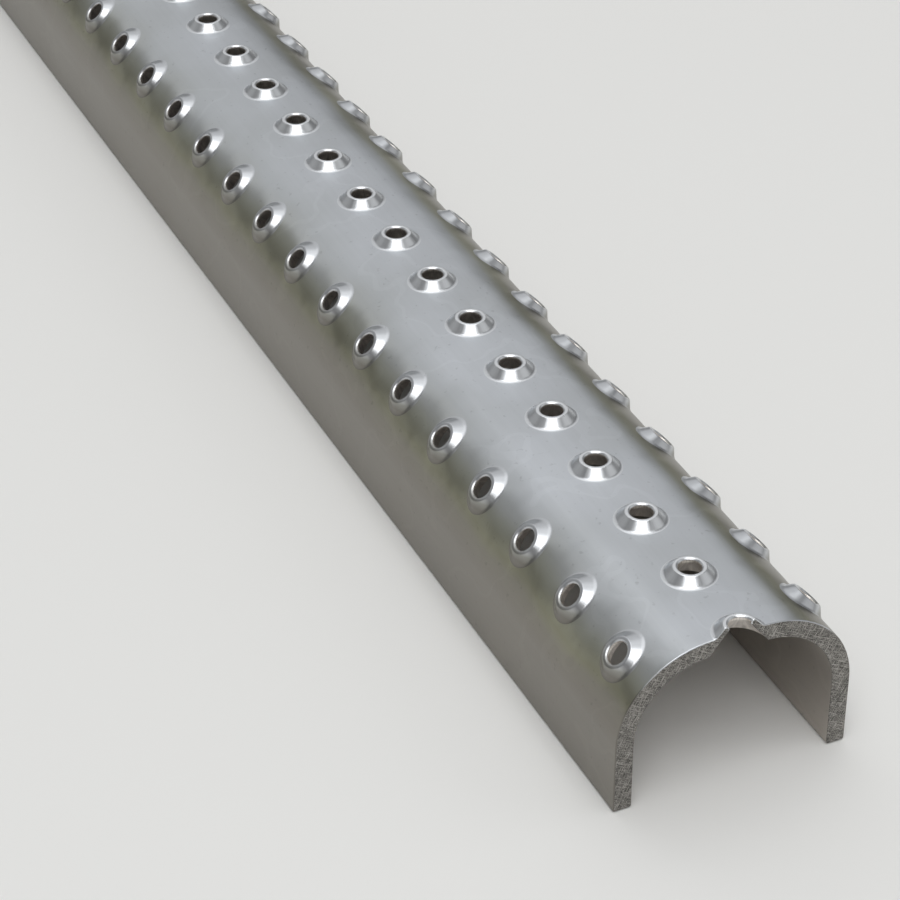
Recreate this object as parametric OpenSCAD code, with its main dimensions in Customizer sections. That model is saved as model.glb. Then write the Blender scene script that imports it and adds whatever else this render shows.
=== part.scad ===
// Anti-slip rung channel: one strip of sheet is pierced and raised into rows of
// grip buttons, folded into a U with an arched crown, and sawn to length.
// X runs along the rung, Y across it, and Z up from the edges of the two legs.

/* [Channel] */
// Length of the rung between its two sawn ends
rung_len = 460.375; // [100:0.125:1000]
// Width across the outer faces of the two legs
rung_w = 41.275; // [34:0.025:60]
// Height from the edges of the legs to the crown, without the buttons
rung_h = 28.575; // [22:0.025:60]
// Thickness of the sheet
sheet_t = 3.175; // [2:0.025:4]
// Outer radius of the arched crown
crown_r = 63.5; // [50:0.5:120]
// Outer radius of the shoulder that turns the crown into a leg
shoulder_r = 15.875; // [14:0.025:20]

/* [Grip buttons] */
// Distance between neighbouring buttons of one row
button_pitch = 15.875; // [13:0.025:40]
// Lean of the two shoulder rows away from upright, in degrees
row_tilt = 45; // [38:1:52]
// Height of a crown button's rim above the sheet
rim_h = 1.5; // [0.8:0.1:2.5]
// Height of a shoulder button's rim, which the fold has pulled down
side_rim_h = 1.1; // [0.8:0.1:2.5]
// Width of the rim, from the wall of the hole to the edge of the cone
rim_w = 0.8; // [0.6:0.05:1.5]
// Slope of the outer cone, in degrees from the button's axis
cone_angle = 42; // [30:1:48]

/* [Button holes] */
// Diameter of the hole through a button
hole_d = 3.8; // [2:0.1:5]
// Straight land at the top of the hole
land_h = 0.5; // [0.3:0.1:1]
// How far the inner edge of the rim rolls down into the hole
lip_drop = 0.25; // [0.1:0.05:0.4]
// Width of that rolled edge
lip_w = 0.3; // [0.1:0.05:0.5]
// Slope of the funnel that the pierced sheet leaves underneath, from its axis
funnel_angle = 38; // [25:1:40]

/* [Hidden] */
$fn = 96;

// Where the shoulders' centres stand, and the angle at which crown and shoulder meet
shoulder_y = rung_w / 2 - shoulder_r;
meet_angle = asin(shoulder_y / (crown_r - shoulder_r));
crown_z = rung_h - crown_r;
shoulder_z = crown_z + (crown_r - shoulder_r) * cos(meet_angle);

// Radii of a button's hole and rim; its cone is rooted half way down the sheet
hole_r = hole_d / 2;
lip_r = hole_r + lip_w;
rim_r = hole_r + rim_w;
root_depth = sheet_t / 2;

// The funnel's cut is carried a whole sheet thickness past the inner face, so that it
// also clears the curve of the shoulder
funnel_depth = 2 * sheet_t;

// The stock is longer than the rung, so that the saw may pass through a button
stock_len = rung_len + 2 * button_pitch;
last_button = ceil(rung_len / button_pitch);
clear = 1;

// A slice of a ring from angle a0 to a1, both less than a half turn apart
module ring_slice(r_out, r_in, a0, a1) {
    reach = 2 * r_out;
    mid = (a0 + a1) / 2;
    intersection() {
        difference() {
            circle(r = r_out);
            circle(r = r_in);
        }
        polygon([
            [0, 0],
            reach * [cos(a0), sin(a0)],
            reach * [cos(mid), sin(mid)],
            reach * [cos(a1), sin(a1)]
        ]);
    }
}

// Half of the folded section: a shoulder and the straight leg below it
module section_side() {
    translate([shoulder_y, shoulder_z])
        ring_slice(shoulder_r, shoulder_r - sheet_t, 0, 90 - meet_angle);
    translate([rung_w / 2 - sheet_t, 0])
        square([sheet_t, shoulder_z]);
}

// The folded section: the arched crown between its two sides
module section() {
    translate([0, crown_z])
        ring_slice(crown_r, crown_r - sheet_t, 90 - meet_angle, 90 + meet_angle);
    section_side();
    mirror([1, 0])
        section_side();
}

// Plain folded stock, along X
module folded_stock() {
    rotate([90, 0, 90])
        linear_extrude(height = stock_len, center = true)
            section();
}

// Raised cone of one button of height h, on the sheet's outer face at z = 0
module button_cone(h) {
    root_r = rim_r + (h + root_depth) * tan(cone_angle);
    translate([0, 0, -root_depth])
        cylinder(r1 = root_r, r2 = rim_r, h = root_depth + h);
}

// What the punch leaves open: funnel, straight land and rolled lip, as one turned shape
module button_bore(h) {
    land_foot = h - lip_drop - land_h;
    funnel_r = hole_r + (land_foot + funnel_depth) * tan(funnel_angle);
    rotate_extrude()
        polygon([
            [0, -funnel_depth],
            [funnel_r, -funnel_depth],
            [hole_r, land_foot],
            [hole_r, h - lip_drop],
            [lip_r, h],
            [lip_r, h + clear],
            [0, h + clear]
        ]);
}

// Places its child at each button of a row: 0 is the crown row, and 1 and -1 are the
// shoulder rows, half a pitch out of step with it. The saw halves the first crown button.
module button_row(row) {
    centre_z = row == 0 ? crown_z : shoulder_z;
    bend_r = row == 0 ? crown_r : shoulder_r;
    for (k = [0 : last_button - abs(row)])
        translate([rung_len / 2 - (k + abs(row) / 2) * button_pitch, row * shoulder_y, centre_z])
            rotate([-row * row_tilt, 0, 0])
                translate([0, 0, bend_r])
                    children();
}

// Its child with one row of buttons raised and pierced in it
module punched(row) {
    h = row == 0 ? rim_h : side_rim_h;
    difference() {
        union() {
            children();
            button_row(row)
                button_cone(h);
        }
        button_row(row)
            button_bore(h);
    }
}

// The rung: folded stock, punched one row at a time, then sawn square at both ends
module rung_channel() {
    color([0.62, 0.64, 0.66])
        intersection() {
            punched(1)
                punched(-1)
                    punched(0)
                        folded_stock();
            translate([-rung_len / 2, -rung_w, -clear])
                cube([rung_len, 2 * rung_w, rung_h + rim_h + 2 * clear]);
        }
}

rung_channel();
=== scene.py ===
# %% [markdown]
# # An anti-slip rung channel
# The object is one strip of thick aluminium sheet. A press pierces it and draws three rows of
# small cone-shaped buttons out of it, a brake folds it into a U with an arched crown, and a saw
# cuts it to length. This lesson makes it in the same order: one punched cell, many cells, the
# fold, the saw cuts, and last the finish of each surface.

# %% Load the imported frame
import math

import bmesh
import bpy
from mathutils import Matrix, Vector


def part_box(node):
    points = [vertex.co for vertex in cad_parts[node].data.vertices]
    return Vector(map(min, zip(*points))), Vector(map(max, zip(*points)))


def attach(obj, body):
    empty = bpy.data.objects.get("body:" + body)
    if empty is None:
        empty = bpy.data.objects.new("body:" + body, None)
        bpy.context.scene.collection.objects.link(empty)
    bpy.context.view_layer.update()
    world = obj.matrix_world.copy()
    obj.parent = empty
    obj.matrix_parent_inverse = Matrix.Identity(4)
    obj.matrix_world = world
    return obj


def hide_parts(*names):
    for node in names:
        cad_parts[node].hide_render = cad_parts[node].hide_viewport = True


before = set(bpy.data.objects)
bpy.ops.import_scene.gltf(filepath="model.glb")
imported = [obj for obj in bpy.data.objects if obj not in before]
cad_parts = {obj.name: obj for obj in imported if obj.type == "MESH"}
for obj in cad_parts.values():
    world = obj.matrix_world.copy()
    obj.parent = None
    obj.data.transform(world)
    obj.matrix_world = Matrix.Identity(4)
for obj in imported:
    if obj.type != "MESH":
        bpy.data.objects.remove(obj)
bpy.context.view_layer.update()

# %% [markdown]
# ## Sizes
# The overall sizes come from the frame. The sizes of the sheet and its buttons are the part's
# driving dimensions, in millimetres, turned into metres once, here. Two points that are closer
# than TINY count as one.

# %% Sizes of the sheet and its buttons
MM = 0.001
TINY = 0.001 * MM
rim_h = 1.5 * MM
side_rim_h = 1.1 * MM
node_low, node_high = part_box("rung_channel")
rung_len = node_high.x - node_low.x
rung_w = node_high.y - node_low.y
rung_h = node_high.z - node_low.z - rim_h
sheet_t = 3.175 * MM
crown_r = 63.5 * MM
shoulder_r = 15.875 * MM
button_pitch = 15.875 * MM
row_tilt = math.radians(45)
hole_r = 1.9 * MM
rim_w = 0.8 * MM
lip_w = 0.3 * MM
lip_drop = 0.25 * MM
land_h = 0.5 * MM
cone_slope = math.tan(math.radians(42))
funnel_slope = math.tan(math.radians(38))
print("rung:", [round(size / MM, 2) for size in (rung_len, rung_w, rung_h)], "mm")

# %% [markdown]
# ## The fold
# On the flat strip a point has a place along the rung (x), a distance from the centre line (s)
# and a height above the outer face (up). Folding sends the strip's middle onto the wide arch of
# the crown, the next stretch round the tighter shoulder, and the rest straight down the leg.
# One function holds that rule, so every later step can work on the flat strip.

# %% Fold a point of the flat strip
shoulder_y = rung_w / 2 - shoulder_r
meet_angle = math.asin(shoulder_y / (crown_r - shoulder_r))
crown_z = rung_h - crown_r
shoulder_z = crown_z + (crown_r - shoulder_r) * math.cos(meet_angle)
crown_end = crown_r * meet_angle
row_gap = crown_end + shoulder_r * (row_tilt - meet_angle)
bend_end = crown_end + shoulder_r * (math.pi / 2 - meet_angle)
strip_edge = bend_end + shoulder_z


def folded(x, s, up):
    far = abs(s)
    if far <= crown_end:
        turn = far / crown_r
        y = (crown_r + up) * math.sin(turn)
        z = crown_z + (crown_r + up) * math.cos(turn)
    elif far <= bend_end:
        turn = meet_angle + (far - crown_end) / shoulder_r
        y = shoulder_y + (shoulder_r + up) * math.sin(turn)
        z = shoulder_z + (shoulder_r + up) * math.cos(turn)
    else:
        y = rung_w / 2 + up
        z = shoulder_z - (far - bend_end)
    return Vector((x, math.copysign(y, s), z))


print("half the strip's width:", round(strip_edge / MM, 2), "mm")
print("rows", round(row_gap / MM, 2), "mm apart")

# %% [markdown]
# ## One button
# A button is a surface of revolution: a cone that leans 42 degrees, a narrow flat rim, a rolled
# lip, a short straight land and a funnel underneath. A lathe would turn it from one profile, and
# Blender's spin does the same. The profile is drawn as a wire, its corners are rounded with a
# vertex bevel, and spin carries it round. The ends of the profile are then slid along their
# cones until they lie on the bent sheet, which falls away to both sides of the button. Where
# they stop depends on how far out they have slid, so the slide is worked out in a few rounds.

# %% Turn one button from its profile
SIDES = 40
ROUND_STEPS = 2
CORNER_ROUNDS = [0.14 * MM, 0.08 * MM, 0.1 * MM, 0.12 * MM]
RIM_EDGE = 0.25 * MM
SLIDE_ROUNDS = 12
SHEET, UNDERSIDE, BUTTON, BORE, SAWN = range(5)


def flat_ring(bm, up):
    return [v for v in bm.verts if abs(v.co.z - up) < TINY]


def slide_to_bend(verts, near_r, slope, near_up, bend_r, face_r):
    """Slides each vertex along its cone until it lies on the bent face of radius face_r."""
    for v in verts:
        across = abs(v.co.y) / v.co.xy.length
        radius = v.co.xy.length
        for _ in range(SLIDE_ROUNDS):
            up = math.sqrt(face_r**2 - (radius * across) ** 2) - bend_r
            radius = near_r + (near_up - up) * slope
        v.co.xy = v.co.xy.normalized() * radius
        v.co.z = up


def round_the_axis(bm):
    """A UV map that unrolls the button: u is the share of a turn, v the height in mm."""
    unrolled = bm.loops.layers.uv.new("unrolled")
    for f in bm.faces:
        facing = f.calc_center_median().xy
        start = math.atan2(facing.y, facing.x)
        for corner in f.loops:
            turn = start - facing.angle_signed(corner.vert.co.xy)
            corner[unrolled].uv = (turn / (2 * math.pi), corner.vert.co.z / MM)


def turned_button(bend_r, top):
    """One button with its rim at the height top, on a sheet bent to the outer radius bend_r."""
    bm = bmesh.new()
    land_foot = top - lip_drop - land_h
    rim_r = hole_r + rim_w
    profile = [
        (rim_r + top * cone_slope, 0.0),
        (rim_r, top),
        (hole_r + lip_w, top),
        (hole_r, top - lip_drop),
        (hole_r, land_foot),
        (hole_r + (land_foot + sheet_t) * funnel_slope, -sheet_t),
    ]
    wire = [bm.verts.new((r, 0, up)) for r, up in profile]
    for a, b in zip(wire, wire[1:]):
        bm.edges.new((a, b))
    for corner, offset in zip(wire[1:-1], CORNER_ROUNDS):
        bmesh.ops.bevel(bm, geom=[corner], offset=offset, offset_type="OFFSET",
                        segments=ROUND_STEPS, profile=0.5, affect="VERTICES", material=-1)
    bmesh.ops.spin(bm, geom=bm.verts[:] + bm.edges[:], cent=(0, 0, 0), axis=(0, 0, 1),
                   angle=2 * math.pi, steps=SIDES, use_merge=True)
    foot, mouth = flat_ring(bm, 0.0), flat_ring(bm, -sheet_t)
    slide_to_bend(foot, rim_r, cone_slope, top, bend_r, bend_r)
    slide_to_bend(mouth, hole_r, funnel_slope, land_foot, bend_r, bend_r - sheet_t)
    for f in bm.faces:
        middle = f.calc_center_median()
        on_cone = middle.xy.length > rim_r + (top - middle.z) * cone_slope - RIM_EDGE
        f.material_index = BUTTON if on_cone or middle.z > top - lip_drop else BORE
    round_the_axis(bm)
    return bm


sample = turned_button(shoulder_r, side_rim_h)
print("button:", len(sample.verts), "vertices,", len(sample.faces), "faces")
sample.free()

# %% [markdown]
# ## One punched cell
# The strip is divided into equal rectangles with one button in the middle of each: a pitch long,
# and as wide as the gap between two rows. A grid gives the rectangle's edge, with as many points
# as a ring of the button has, and bridge_loops fills the plain sheet between the two, once on the
# outer face and once underneath. Neighbouring cells then share their edge points exactly.

# %% Make a cell
EDGE_STEPS = SIDES // 4


def edges_between(verts):
    """Edges with both ends in verts, each once, and in the same order every run."""
    inside = set(verts)
    return list(dict.fromkeys(e for v in verts for e in v.link_edges if e.other_vert(v) in inside))


def cell_edge(bm, up):
    """The rectangle round a cell, as a closed loop of edges at the given height."""
    to_size = Matrix.Translation((0, 0, up)) @ Matrix.Diagonal((button_pitch, row_gap, 1, 1))
    grid = bmesh.ops.create_grid(bm, x_segments=EDGE_STEPS, y_segments=EDGE_STEPS, size=0.5,
                                 matrix=to_size)
    inner = [v for v in grid["verts"] if not v.is_boundary]
    border = [v for v in grid["verts"] if v.is_boundary]
    bmesh.ops.delete(bm, geom=inner, context="VERTS")
    return edges_between(border)


def punched_cell(bend_r, top):
    bm = turned_button(bend_r, top)
    rims = [e for e in bm.edges if e.is_boundary]
    foot = [e for e in rims if e.verts[0].co.z > -sheet_t / 2]
    mouth = [e for e in rims if e.verts[0].co.z <= -sheet_t / 2]
    for ring, up, finish in ((foot, 0.0, SHEET), (mouth, -sheet_t, UNDERSIDE)):
        for f in bmesh.ops.bridge_loops(bm, edges=ring + cell_edge(bm, up))["faces"]:
            f.material_index = finish
    mesh = bpy.data.meshes.new("punched_cell")
    bm.to_mesh(mesh)
    bm.free()
    return mesh


crown_cell = punched_cell(crown_r, rim_h)
shoulder_cell = punched_cell(shoulder_r, side_rim_h)
print("cell:", len(crown_cell.vertices), "vertices,", len(crown_cell.polygons), "faces")

# %% [markdown]
# ## Rows of cells on the folded strip
# Each row repeats its cell at the pitch; the shoulder rows are half a pitch out of step. A cell's
# edge points follow the fold. The button's own points don't bend: a pressed button is stiff, so
# it keeps its flat rim and is only set square on the folded sheet.

# %% Lay the three rows


def place_cell(verts, x, row):
    middle = folded(0, row * row_gap, 0)
    turn = Matrix.Translation((x, middle.y, middle.z)) @ Matrix.Rotation(-row * row_tilt, 4, "X")
    for v in verts:
        on_edge = abs(v.co.x) > button_pitch / 2 - TINY or abs(v.co.y) > row_gap / 2 - TINY
        if on_edge:
            v.co = folded(x + v.co.x, row * row_gap + v.co.y, v.co.z)
        else:
            v.co = turn @ v.co


pitches = round(rung_len / button_pitch)
rung = bmesh.new()
for row, cell in ((0, crown_cell), (1, shoulder_cell), (-1, shoulder_cell)):
    for k in range(pitches + 1 - abs(row)):
        laid = len(rung.verts)
        rung.from_mesh(cell)
        rung.verts.ensure_lookup_table()
        axis_x = rung_len / 2 - (k + abs(row) / 2) * button_pitch
        place_cell(rung.verts[laid:], axis_x, row)
bmesh.ops.remove_doubles(rung, verts=rung.verts, dist=TINY)
print("three rows:", len(rung.verts), "vertices,", len(rung.faces), "faces")

# %% [markdown]
# ## The legs
# Below the shoulder rows the sheet is plain. Its open edges are pulled down in steps, first round
# the rest of the bend and then straight to the sheared edge, where a last bridge joins the outer
# face to the inner one.

# %% Pull the plain sheet down the legs
BEND_STEPS = 3
LEG_STEPS = 3
cells_end = 1.5 * row_gap


def steps_between(start, end, count):
    return [start + (end - start) * (i + 1) / count for i in range(count)]


stations = steps_between(cells_end, bend_end, BEND_STEPS)
stations += steps_between(bend_end, strip_edge, LEG_STEPS)


def open_edge(side, up):
    """The open edge of the punched rows on one side, on the outer face or the inner one."""
    there = folded(0, side * cells_end, up)
    return [
        e for e in rung.edges
        if e.is_boundary and all((Vector((0, *v.co.yz)) - there).length < TINY for v in e.verts)
    ]


def pulled_down(edges, side, up):
    for s in stations:
        made = bmesh.ops.extrude_edge_only(rung, edges=edges)["geom"]
        for v in made:
            if isinstance(v, bmesh.types.BMVert):
                v.co = folded(v.co.x, side * s, up)
        edges = [e for e in made if isinstance(e, bmesh.types.BMEdge) and e.is_boundary]
        edges = [e for e in edges if abs(e.verts[0].co.z - e.verts[1].co.z) < TINY]  # not the ends
    return edges


for side in (1, -1):
    outer_edge = pulled_down(open_edge(side, 0.0), side, 0.0)
    inner_edge = pulled_down(open_edge(side, -sheet_t), side, -sheet_t)
    print("side", side, "leg edge:", len(outer_edge), "and", len(inner_edge), "edges")
    bmesh.ops.bridge_loops(rung, edges=outer_edge + inner_edge)
bmesh.ops.recalc_face_normals(rung, faces=rung.faces)

# %% [markdown]
# ## Small roundings
# Where a cone rises from the sheet the metal can't turn sharply: the punch leaves a small inside
# radius, and it is what catches the light round each button. The mouth of each funnel and the
# sheared edges of the legs have lost their sharpness too. All are edges at which two faces meet
# at a clear angle, so the script finds them by that angle, in degrees, and bevels them.

# %% Round the feet of the buttons, the mouths of the funnels and the leg edges
FOOT_ROUND = 0.4 * MM
MOUTH_ROUND = 0.1 * MM
LEG_ROUND = 0.3 * MM
FOOT_TURN = (-80, -20)
MOUTH_TURN = (18, 60)
LEG_TURN = (60, 120)


def fold_of(co):
    """The centre and outer radius of the bend that a point is on; no centre on a straight leg."""
    if co.z <= shoulder_z:
        return None, 0.0
    if abs(co.y) <= math.tan(meet_angle) * (co.z - crown_z):
        return Vector((co.x, 0, crown_z)), crown_r
    return Vector((co.x, math.copysign(shoulder_y, co.y), shoulder_z)), shoulder_r


def depth_in_sheet(co):
    centre, bend_r = fold_of(co)
    if centre is None:
        return rung_w / 2 - abs(co.y)
    return bend_r - (co - centre).length


def strip_place(co):
    """How far round the sheet a folded point is from the strip's centre line."""
    centre, bend_r = fold_of(co)
    if centre is None:
        return bend_end + shoulder_z - co.z
    turn = math.atan2(abs(co.y - centre.y), co.z - centre.z)
    if bend_r == crown_r:
        return crown_r * turn
    return crown_end + shoulder_r * (turn - meet_angle)


def creases(low, high):
    """Edges at which the surface turns by low to high degrees; an inside corner is negative."""
    return [
        e for e in rung.edges
        if e.is_manifold and low < math.degrees(e.calc_face_angle_signed()) < high
    ]


def rounded(edges, offset, steps, finish=-1):
    bmesh.ops.bevel(rung, geom=edges, offset=offset, offset_type="OFFSET", segments=steps,
                    profile=0.5, affect="EDGES", material=finish)
    print("rounded", len(edges), "edges by", round(offset / MM, 2), "mm")


def on_inner_face(e):
    return min(depth_in_sheet(v.co) for v in e.verts) > 0.95 * sheet_t


def on_the_ground(e):
    return max(v.co.z for v in e.verts) < TINY


rounded(creases(*FOOT_TURN), FOOT_ROUND, 3, BUTTON)
rounded([e for e in creases(*MOUTH_TURN) if on_inner_face(e)], MOUTH_ROUND, 1)
rounded([e for e in creases(*LEG_TURN) if on_the_ground(e)], LEG_ROUND, 2)

# %% [markdown]
# ## Following the curve between buttons
# The plain sheet between a button and its cell's edge is still one flat facet wide. Those facets
# are split into rings, and each new point is pushed onto the folded face that it belongs to, so
# that the crown and the shoulders come out round and shade evenly.

# %% Round the plain sheet between the buttons
RING_CUTS = 2


def onto_face(v):
    """Moves a vertex square to the sheet until it lies on the nearer of its two faces."""
    up = 0.0 if depth_in_sheet(v.co) < sheet_t / 2 else -sheet_t
    centre, bend_r = fold_of(v.co)
    if centre is None:
        v.co.y = math.copysign(rung_w / 2 + up, v.co.y)
    else:
        v.co = centre + (v.co - centre).normalized() * (bend_r + up)


def button_of(co):
    """The row of the nearest button and how far along the rung its axis is."""
    row = min(round(strip_place(co) / row_gap), 1)
    step = round((rung_len / 2 - co.x) / button_pitch - row / 2)
    return row, rung_len / 2 - (step + row / 2) * button_pitch


def on_cell_edge(co):
    row, axis_x = button_of(co)
    off_row = abs(strip_place(co) - row * row_gap)
    return off_row > row_gap / 2 - TINY or abs(co.x - axis_x) > button_pitch / 2 - TINY


border = {v for v in rung.verts if on_cell_edge(v.co)}
spokes = [e for e in rung.edges if (e.verts[0] in border) != (e.verts[1] in border)]
split = bmesh.ops.subdivide_edges(rung, edges=spokes, cuts=RING_CUTS, use_grid_fill=True)
for v in split["geom_inner"]:
    if isinstance(v, bmesh.types.BMVert):
        onto_face(v)
print("spokes split:", len(spokes), "now", len(rung.verts), "vertices,", len(rung.faces), "faces")

# %% [markdown]
# ## Sawn ends
# The saw goes through the middle of a crown button at both ends. bisect_plane cuts the mesh there.
# A deburred cut has a fine rounded arris all the way round, and a sharp one would look like paper.
# So the open edge is first carried round a small quarter circle, a ring of faces at a time, and
# the rest is closed with one face at each end.

# %% Saw both ends square
NEAR = 0.02 * MM
for end in (1, -1):
    plane = Vector((end * rung_len / 2, 0, 0))
    bmesh.ops.bisect_plane(rung, geom=rung.verts[:] + rung.edges[:] + rung.faces[:], dist=NEAR,
                           plane_co=plane, plane_no=(end, 0, 0), clear_outer=True)
open_verts = [v for v in rung.verts if v.is_boundary]
for v in open_verts:
    v.co.x = math.copysign(rung_len / 2, v.co.x)
bmesh.ops.remove_doubles(rung, verts=open_verts, dist=NEAR)
rung.normal_update()
cut_edges = [e for e in rung.edges if e.is_boundary]
print("cut edges:", len(cut_edges))

# %% Round the arris and close the cuts
ARRIS = 0.16 * MM
ARRIS_STEPS = 3


def inward(v):
    """Square to the surface round an open edge, along the cut and into the metal."""
    normal = sum((f.normal for f in v.link_faces), Vector())
    normal.x = 0
    return -normal.normalized()


def from_lowest_corner(f):
    """Makes a face again with its corners counted from the lowest-numbered one."""
    corners = list(f.verts)
    rung.faces.remove(f)
    start = corners.index(min(corners, key=lambda v: v.index))
    return rung.faces.new(corners[start:] + corners[:start])


ring = {v: (v.co.x, inward(v)) for e in cut_edges for v in e.verts}
for v in ring:
    v.co.x -= math.copysign(ARRIS, v.co.x)
for step in range(1, ARRIS_STEPS + 1):
    turn = math.pi / 2 * step / ARRIS_STEPS
    last_turn = math.pi / 2 * (step - 1) / ARRIS_STEPS
    made = bmesh.ops.extrude_edge_only(rung, edges=cut_edges)["geom"]
    cut_edges = [e for e in made if isinstance(e, bmesh.types.BMEdge) and e.is_boundary]
    next_ring = {}
    for v in made:
        if isinstance(v, bmesh.types.BMVert):
            old = next(e.other_vert(v) for e in v.link_edges if e.other_vert(v) in ring)
            end_x, way = ring[old]
            next_ring[v] = ring[old]
            v.co = old.co + way * ARRIS * (math.cos(last_turn) - math.cos(turn))
            v.co.x = end_x - math.copysign(ARRIS * (1 - math.sin(turn)), end_x)
    ring = next_ring
caps = bmesh.ops.holes_fill(rung, edges=[e for e in rung.edges if e.is_boundary], sides=0)["faces"]
rung.verts.index_update()
caps = [from_lowest_corner(f) for f in sorted(caps, key=lambda f: min(v.index for v in f.verts))]
bmesh.ops.recalc_face_normals(rung, faces=rung.faces)
print("corners of each sawn face:", [len(f.verts) for f in caps])

# %% [markdown]
# ## The finished mesh
# The rung is one pressed piece, so it is one object, and it takes the place of the plain packed
# solid. Its faces are smooth except at real corners, and the normals lean towards the larger
# faces, so that a flat leg stays flat right up to its rounded edge.
#
# Blender's mesh operators don't keep to one order of edges and faces. Both are sorted by the
# numbers of their corners, so every run writes the same faces in the same order.

# %% Make the rung an object that rides in the frame
SHARP = math.radians(38)


def corner_key(part):
    """One number from the three lowest vertex numbers of an edge or a face."""
    key = 0
    for index in sorted(v.index for v in part.verts)[:3]:
        key = key * len(rung.verts) + index
    return key


for f in rung.faces:
    f.smooth = True
    middle = f.calc_center_median()
    if abs(middle.x) > rung_len / 2 - 0.9 * ARRIS:
        outer_arris = abs(f.normal.x) < 0.99 and depth_in_sheet(middle) < sheet_t / 4
        f.material_index = BUTTON if outer_arris else SAWN
rung.verts.index_update()
rung.edges.sort(key=corner_key)
rung.faces.sort(key=corner_key)
sheet_mesh = bpy.data.meshes.new("pressed_rung")
rung.to_mesh(sheet_mesh)
rung.free()
sheet_mesh.set_sharp_from_angle(angle=SHARP)
pressed_rung = bpy.data.objects.new("pressed_rung", sheet_mesh)
bpy.context.scene.collection.objects.link(pressed_rung)
even = pressed_rung.modifiers.new("even_normals", "WEIGHTED_NORMAL")
even.mode = "FACE_AREA"
even.keep_sharp = True
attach(pressed_rung, "root")
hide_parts("rung_channel")
print("pressed rung:", len(sheet_mesh.vertices), "vertices,", len(sheet_mesh.polygons), "faces")

# %% [markdown]
# ## Colours and nodes
# Colours are written as they look on screen, in hex, and one function turns them to the linear
# values that a shader needs. Another adds a node with its settings and its links. Patterns are
# drawn on the piece's own coordinates in millimetres, so their sizes are real sizes. A noise keeps
# mostly to the middle of its range, and a Map Range node spreads that over the effect it is for.

# %% Helpers for the materials


def colour(hex_code):
    """A colour written as sRGB hex, as linear red, green, blue and alpha."""
    parts = [int(hex_code[i:i + 2], 16) / 255 for i in (0, 2, 4)]
    return (*[p / 12.92 if p <= 0.04045 else ((p + 0.055) / 1.055) ** 2.4 for p in parts], 1.0)


def add(tree, kind, inputs=(), **settings):
    """Adds a node; inputs pairs an input's name or number with a value or a node's output."""
    made = tree.nodes.new("ShaderNode" + kind)
    for name, value in settings.items():
        setattr(made, name, value)
    for key, value in dict(inputs).items():
        if isinstance(value, bpy.types.NodeSocket):
            tree.links.new(value, made.inputs[key])
        else:
            made.inputs[key].default_value = value
    return made


def new_material(name):
    """A material with a Principled shader, and the place on the piece in millimetres."""
    material = bpy.data.materials.new(name)
    material.use_nodes = True
    tree = material.node_tree
    place = add(tree, "TexCoord").outputs["Object"]
    in_mm = add(tree, "VectorMath", {0: place, "Scale": 1 / MM}, operation="SCALE").outputs[0]
    return material, tree, tree.nodes["Principled BSDF"], in_mm


# %% [markdown]
# ## Mill-finish sheet
# Aluminium as it leaves the rolls: satin, bluish, with faint lines along the strip where the rolls
# dragged, a cloudy oxide, a few dark pits and the faint edges of dried water. Over that, the colour
# is painted shade that changes with height: the legs are painted darker and warmer, the shoulders
# pass through an olive band, and the crown is palest. On the far (+Y) side the painted shade starts
# higher up. The underside follows the same rule, with tones that are only a little darker towards
# the bottom. One function makes both, because they differ only in their tones and their gloss.

# %% Tones of the sheet, painted darker lower down as painted shade
# Painted shade: heights in mm against colours, darker and warmer on the legs, olive on the shoulders,
# palest on the crown.
OUTER_TONES_WITH_PAINTED_SHADE = [
    (0.0, "87837C"),
    (15.0, "88847D"),
    (18.0, "8B887F"),
    (19.9, "949381"),
    (21.6, "A3A393"),
    (23.1, "B2B4AA"),
    (24.5, "BEC1C0"),
    (26.4, "C4C8CB"),
    (28.6, "C8CCD1"),
]
INNER_TONES = [(0.0, "BFB9B2"), (28.6, "CBC5BE")]
# Painted shade on the far (+Y) side: between 8 and 13 mm out from the centre line, the tones are taken
# from up to 7 mm lower.
FAR_SHADE_FROM, FAR_SHADE_WHOLE, FAR_SHADE_RISE = 8.0, 13.0, 7.0
CLOUD_SIZE = 22.0
CLOUD_WANDER = 1.2
NOISE_LOW, NOISE_HIGH = 0.3, 0.7


def ramp(tree, level, tones):
    """A colour ramp up the rung; tones pairs heights in millimetres with colours."""
    top = (rung_h + rim_h) / MM
    part = add(tree, "MapRange", {"Value": level, 1: 0.0, 2: top}).outputs[0]
    tone = add(tree, "ValToRGB", {"Fac": part})
    stops = tone.color_ramp.elements
    while len(stops) < len(tones):
        stops.new(1.0)
    for stop, (height, code) in zip(stops, tones):
        stop.position = min(height / top, 1.0)
        stop.color = colour(code)
    return tone.outputs["Color"]


def painted_shade_level(tree, in_mm, cloud):
    """The height that picks the painted shade: it wanders with the clouds and drops on the far (+Y)
    side.
    """
    place = add(tree, "SeparateXYZ", {0: in_mm})
    wander = {"Value": cloud, 1: NOISE_LOW, 2: NOISE_HIGH, 3: -CLOUD_WANDER, 4: CLOUD_WANDER}
    wander = add(tree, "MapRange", wander).outputs[0]
    # Painted shade: on the far (+Y) side the level drops, so darker tones reach higher up.
    far_shade = {"Value": place.outputs["Y"], 1: FAR_SHADE_FROM, 2: FAR_SHADE_WHOLE, 3: 0.0, 4: -FAR_SHADE_RISE}
    far_shade = add(tree, "MapRange", far_shade).outputs[0]
    level = add(tree, "Math", {0: place.outputs["Z"], 1: wander}, operation="ADD").outputs[0]
    return add(tree, "Math", {0: level, 1: far_shade}, operation="ADD").outputs[0]


print("heights of the tones:", [height for height, _ in OUTER_TONES_WITH_PAINTED_SHADE])

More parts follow.
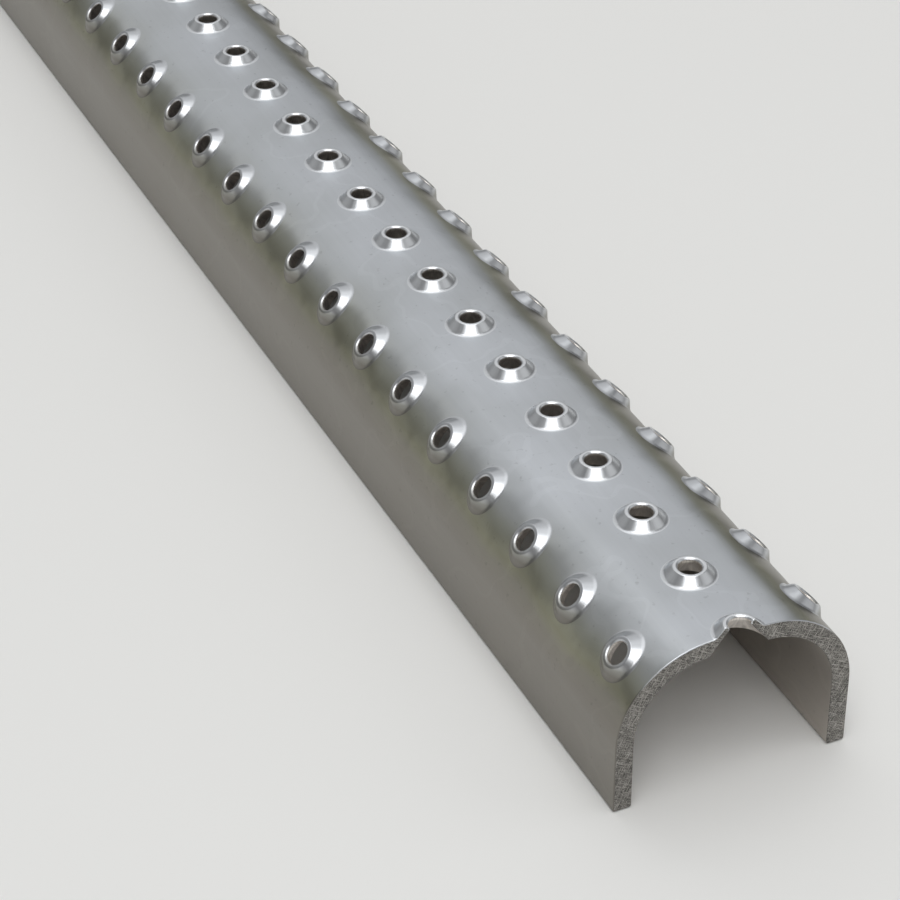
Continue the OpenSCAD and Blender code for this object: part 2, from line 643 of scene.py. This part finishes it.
# %% Marks on the sheet
LINE_GAP = 0.9
LINE_DRAW = 0.02
STAIN_SIZE, STAIN_EDGE, STAIN_GAIN = 19.0, 0.012, 1.035
PIT_SIZE, PIT_FROM, PIT_WHOLE, PIT_TONE = 1.1, 0.66, 0.76, 0.84


def roll_lines(tree, in_mm):
    """Fine lines along the strip."""
    drawn = add(tree, "VectorMath", {0: in_mm, 1: (LINE_DRAW, 1, 1)}, operation="MULTIPLY").outputs[0]
    noise = {"Vector": drawn, "Scale": 1 / LINE_GAP, "Detail": 4.0}
    return add(tree, "TexNoise", noise).outputs["Fac"]


def dried_water(tree, in_mm):
    """Faint pale lines where the edges of drops dried."""
    noise = {"Vector": in_mm, "Scale": 1 / STAIN_SIZE, "Detail": 2.0}
    wet = add(tree, "TexNoise", noise).outputs["Fac"]
    edge = add(tree, "Math", {0: wet, 1: 0.5, 2: STAIN_EDGE}, operation="COMPARE").outputs[0]
    return add(tree, "MapRange", {"Value": edge, 3: 1.0, 4: STAIN_GAIN}).outputs[0]


def dark_pits(tree, in_mm):
    """Small dull spots, where only the highest peaks of a fine noise count."""
    noise = {"Vector": in_mm, "Scale": 1 / PIT_SIZE, "Detail": 2.0}
    grain = add(tree, "TexNoise", noise).outputs["Fac"]
    pits = {"Value": grain, 1: PIT_FROM, 2: PIT_WHOLE, 3: 1.0, 4: PIT_TONE}
    return add(tree, "MapRange", pits).outputs[0]


print("roll lines", LINE_GAP, "mm, stains", STAIN_SIZE, "mm and pits", PIT_SIZE, "mm in size")

# %% Mill-finish sheet, outside and underneath
BROAD_LOW, BROAD_HIGH = 0.25, 0.75
MOTTLE_LOW, MOTTLE_HIGH = 0.92, 1.06
STREAK_LOW, STREAK_HIGH = 0.98, 1.02
DULL_SWING = 0.04
LINE_DEPTH = 0.02 * MM


def rolled_sheet(name, tones, dull):
    material, tree, shader, in_mm = new_material(name)
    shader.inputs["Metallic"].default_value = 1.0
    noise = {"Vector": in_mm, "Scale": 1 / CLOUD_SIZE, "Detail": 3.0}
    cloud = add(tree, "TexNoise", noise).outputs["Fac"]
    lines = roll_lines(tree, in_mm)
    mottle = {"Value": cloud, 1: BROAD_LOW, 2: BROAD_HIGH, 3: MOTTLE_LOW, 4: MOTTLE_HIGH}
    mottle = add(tree, "MapRange", mottle).outputs[0]
    streak = {"Value": lines, 1: BROAD_LOW, 2: BROAD_HIGH, 3: STREAK_LOW, 4: STREAK_HIGH}
    streak = add(tree, "MapRange", streak).outputs[0]
    rolled = add(tree, "Math", {0: mottle, 1: streak}, operation="MULTIPLY").outputs[0]
    marks = {0: dried_water(tree, in_mm), 1: dark_pits(tree, in_mm)}
    marks = add(tree, "Math", marks, operation="MULTIPLY").outputs[0]
    shade = add(tree, "Math", {0: rolled, 1: marks}, operation="MULTIPLY").outputs[0]
    # The tone is painted shade: it is picked by height, so it is darker lower down.
    tone = ramp(tree, painted_shade_level(tree, in_mm, cloud), tones)
    finish = add(tree, "VectorMath", {0: tone, "Scale": shade}, operation="SCALE").outputs[0]
    tree.links.new(finish, shader.inputs["Base Color"])
    gloss = {"Value": cloud, 1: NOISE_LOW, 2: NOISE_HIGH, 3: dull - DULL_SWING, 4: dull + DULL_SWING}
    tree.links.new(add(tree, "MapRange", gloss).outputs[0], shader.inputs["Roughness"])
    dents = add(tree, "Bump", {"Height": lines, "Strength": 0.08, "Distance": LINE_DEPTH})
    tree.links.new(dents.outputs["Normal"], shader.inputs["Normal"])
    return material


outer_face = rolled_sheet("mill_finish_aluminium_sheet", OUTER_TONES_WITH_PAINTED_SHADE, 0.33)
inner_face = rolled_sheet("mill_finish_aluminium_underside", INNER_TONES, 0.5)
print("sheet finishes:", outer_face.name, inner_face.name)

# %% [markdown]
# ## Stretched buttons
# The punch stretches the sheet over its nose, which burnishes it: the cones and rims are shinier
# than the sheet round them, and on the crown brighter. Their colour up the rung is painted shade: the
# lower flanks of the shoulder buttons are painted dark, like the legs round them. They keep fine drag
# marks up the slope of the cone, and the bore, where the metal was torn through, has deeper and more
# uneven ones. Both are laid out round the button's axis, so they are drawn on its unrolled UV map.

# %% Burnished cone and torn bore
# Painted shade: heights in mm against colours; the lower flanks of the shoulder buttons are painted
# dark, the upper ones pale, palest at the crown rims.
CONE_TONES_WITH_PAINTED_SHADE = [
    (0.0, "7C7872"),
    (21.5, "807D77"),
    (22.8, "9A9A95"),
    (23.8, "CED0D2"),
    (27.8, "C6CACF"),
    (28.8, "DFE2E5"),
]
BORE_TONES = [(0.0, "E3DDD7"), (28.6, "E3DDD7")]
MARK_DRAW = 0.25
BUTTONS_DIFFER = 0.11
DRAWN_SWING = 0.05


def drag_marks(tree, in_mm, marks_round):
    """Marks up the slope of a button, marks_round of them in a turn, and no two buttons alike."""
    unrolled = add(tree, "UVMap", uv_map="unrolled").outputs["UV"]
    stretch = {0: unrolled, 1: (marks_round, MARK_DRAW, 0.0)}
    spread = add(tree, "VectorMath", stretch, operation="MULTIPLY").outputs[0]
    shift = {0: in_mm, 1: (BUTTONS_DIFFER, 0.0, 0.0), 2: spread}
    place = add(tree, "VectorMath", shift, operation="MULTIPLY_ADD").outputs[0]
    return add(tree, "TexNoise", {"Vector": place, "Scale": 1.0, "Detail": 3.0}).outputs["Fac"]


def drawn_metal(name, tones, dull, marks_round, depth, contrast):
    material, tree, shader, in_mm = new_material(name)
    shader.inputs["Metallic"].default_value = 1.0
    marks = drag_marks(tree, in_mm, marks_round)
    shade = {"Value": marks, 1: NOISE_LOW, 2: NOISE_HIGH, 3: 1.0 - contrast, 4: 1.0 + contrast}
    shade = add(tree, "MapRange", shade).outputs[0]
    # The tone is painted shade on the cones: it is picked by height, so it is darker lower down.
    tone = ramp(tree, add(tree, "SeparateXYZ", {0: in_mm}).outputs["Z"], tones)
    finish = add(tree, "VectorMath", {0: tone, "Scale": shade}, operation="SCALE").outputs[0]
    tree.links.new(finish, shader.inputs["Base Color"])
    gloss = {"Value": marks, 1: NOISE_LOW, 2: NOISE_HIGH, 3: dull - DRAWN_SWING, 4: dull + DRAWN_SWING}
    tree.links.new(add(tree, "MapRange", gloss).outputs[0], shader.inputs["Roughness"])
    drag = add(tree, "Bump", {"Height": marks, "Strength": 0.3, "Distance": depth})
    tree.links.new(drag.outputs["Normal"], shader.inputs["Normal"])
    return material


button_metal = drawn_metal("stretch_burnished_aluminium", CONE_TONES_WITH_PAINTED_SHADE, dull=0.32, marks_round=60.0,
                           depth=0.0012 * MM, contrast=0.03)
bore_metal = drawn_metal("torn_aluminium_bore", BORE_TONES, dull=0.45, marks_round=50.0,
                         depth=0.02 * MM, contrast=0.2)
print("button finishes:", button_metal.name, bore_metal.name)

# %% [markdown]
# ## The look of the sawn ends
# The saw leaves a dull grey face covered with short bright scratches in two crossing directions.
# Each direction is a noise drawn out along its stroke, the brighter of the two wins, and a finer
# speck breaks the scratches up.

# %% Sawn face
SCRATCH_GAP = 0.11
SCRATCH_DRAW = 0.07
SCRATCH_LEANS = (28, -62)
SPECK_SIZE = 0.2
SPECK_SHARE = 0.5
SAW_DEPTH = 0.04 * MM
SAWN_TONES = [(0.68, "5D5B58"), (1.0, "B6B3AE")]
WORKED_LOW, WORKED_HIGH = 0.7, 0.95
GROUND_DULL, SCRATCH_DULL = 0.6, 0.42
sawn_face, tree, shader, in_mm = new_material("sawn_aluminium_end")
shader.inputs["Metallic"].default_value = 1.0
hatch = []
for lean in SCRATCH_LEANS:
    turned = add(tree, "Mapping", {"Vector": in_mm, "Rotation": (math.radians(lean), 0, 0)})
    stroke = {0: turned.outputs[0], 1: (1, 1, SCRATCH_DRAW)}
    stroke = add(tree, "VectorMath", stroke, operation="MULTIPLY").outputs[0]
    noise = {"Vector": stroke, "Scale": 1 / SCRATCH_GAP, "Detail": 1.0}
    hatch.append(add(tree, "TexNoise", noise).outputs["Fac"])
crossed = add(tree, "Math", {0: hatch[0], 1: hatch[1]}, operation="MAXIMUM").outputs[0]
noise = {"Vector": in_mm, "Scale": 1 / SPECK_SIZE, "Detail": 1.0}
speck = add(tree, "TexNoise", noise).outputs["Fac"]
worked = {0: speck, 1: SPECK_SHARE, 2: crossed}
worked = add(tree, "Math", worked, operation="MULTIPLY_ADD").outputs[0]
tone = add(tree, "ValToRGB", {"Fac": worked})
for stop, (position, code) in zip(tone.color_ramp.elements, SAWN_TONES):
    stop.position = position
    stop.color = colour(code)
tree.links.new(tone.outputs["Color"], shader.inputs["Base Color"])
gloss = {"Value": worked, 1: WORKED_LOW, 2: WORKED_HIGH, 3: GROUND_DULL, 4: SCRATCH_DULL}
tree.links.new(add(tree, "MapRange", gloss).outputs[0], shader.inputs["Roughness"])
cuts = add(tree, "Bump", {"Height": worked, "Strength": 0.4, "Distance": SAW_DEPTH})
tree.links.new(cuts.outputs["Normal"], shader.inputs["Normal"])

# %% Give the rung its finishes, in the order of the face numbers
for finish in (outer_face, inner_face, button_metal, bore_metal, sawn_face):
    pressed_rung.data.materials.append(finish)
print("finishes:", [finish.name for finish in pressed_rung.data.materials])

# %% [markdown]
# ## Floor
# A large sheet of matt pale paper, a hair below the leg edges so that the two never touch.

# %% Lay the floor
FLOOR_SIZE = 14.0
FLOOR_GAP = 0.2 * MM
floor_mesh = bpy.data.meshes.new("studio_floor")
floor_shape = bmesh.new()
bmesh.ops.create_grid(floor_shape, x_segments=1, y_segments=1, size=FLOOR_SIZE / 2)
floor_shape.to_mesh(floor_mesh)
floor_shape.free()
floor = bpy.data.objects.new("studio_floor", floor_mesh)
bpy.context.scene.collection.objects.link(floor)
floor.location.z = -FLOOR_GAP
paper, _, paper_shader, _ = new_material("matt_pale_paper")
paper_shader.inputs["Base Color"].default_value = colour("EDEDEB")
paper_shader.inputs["Roughness"].default_value = 0.9
floor_mesh.materials.append(paper)
print("floor:", FLOOR_SIZE, "m square")

# %% [markdown]
# ## Light
# Polished metal shows its surroundings, so the lamps are placed by what each surface mirrors. The
# key softbox shows in the front of every cone, the back one in the crown and the top one in the
# rounded edges. Two dim ones at the sides fill the flanks of the cones, and a faint even world
# keeps the rest from going black. A softbox's glow is the brightness of its face, so its power
# grows with its area. The camera doesn't see them, only their light and their reflections.

# %% Hang the lamps
middle = Vector((0, 0, rung_h / 2))
WORLD_GLOW = 0.18


def soft_lamp(name, azimuth, elevation, distance, wide, tall, glow):
    """A softbox that looks at the middle of the rung; azimuth is measured from +X towards +Y."""
    turn, rise = math.radians(azimuth), math.radians(elevation)
    level = math.cos(rise)
    way = Vector((math.cos(turn) * level, math.sin(turn) * level, math.sin(rise)))
    data = bpy.data.lights.new(name, "AREA")
    data.shape = "RECTANGLE"
    data.size = wide
    data.size_y = tall
    data.energy = glow * math.pi * wide * tall
    lamp = bpy.data.objects.new(name, data)
    bpy.context.scene.collection.objects.link(lamp)
    lamp.location = middle + way * distance
    lamp.rotation_euler = way.to_track_quat("Z", "Y").to_euler()
    lamp.visible_camera = False
    print(name, round(data.energy, 2), "W")


soft_lamp("key_softbox", azimuth=-20, elevation=58, distance=1.8, wide=1.4, tall=1.6, glow=2.25)
soft_lamp("top_softbox", azimuth=155, elevation=86, distance=1.5, wide=1.3, tall=1.3, glow=1.05)
soft_lamp("back_softbox", azimuth=162, elevation=43, distance=1.6, wide=2.6, tall=1.35, glow=0.53)
soft_lamp("left_softbox", azimuth=232, elevation=26, distance=1.8, wide=1.7, tall=0.9, glow=0.2)
soft_lamp("right_softbox", azimuth=62, elevation=28, distance=1.8, wide=1.3, tall=1.3, glow=0.45)
world = bpy.data.worlds.new("studio_world")
world.use_nodes = True
world.node_tree.nodes["Background"].inputs["Color"].default_value = colour("FFFFFF")
world.node_tree.nodes["Background"].inputs["Strength"].default_value = WORLD_GLOW
bpy.context.scene.world = world

# %% [markdown]
# ## Camera
# It stands in front of one sawn end, above and to the -Y side, and looks back along the rung.
# Both places are measured in millimetres from the middle of that end, at the height of the legs'
# edges.

# %% Set the camera
LENS, SENSOR = 117.9, 36.0
STANDS = Vector((297.7, -186.97, 305.63)) * MM
LOOKS_AT = Vector((-103.7, 0, -3.7)) * MM
near_end = Vector((rung_len / 2, 0, 0))
camera_data = bpy.data.cameras.new("studio_camera")
camera_data.lens = LENS
camera_data.sensor_width = SENSOR
camera_data.clip_start = 0.01
camera = bpy.data.objects.new("studio_camera", camera_data)
bpy.context.scene.collection.objects.link(camera)
camera.location = near_end + STANDS
aim = near_end + LOOKS_AT
camera.rotation_euler = (camera.location - aim).to_track_quat("Z", "Y").to_euler()
bpy.context.scene.camera = camera
bpy.context.scene.view_settings.view_transform = "Standard"
print("camera is", round((camera.location - aim).length / MM), "mm from where it looks")
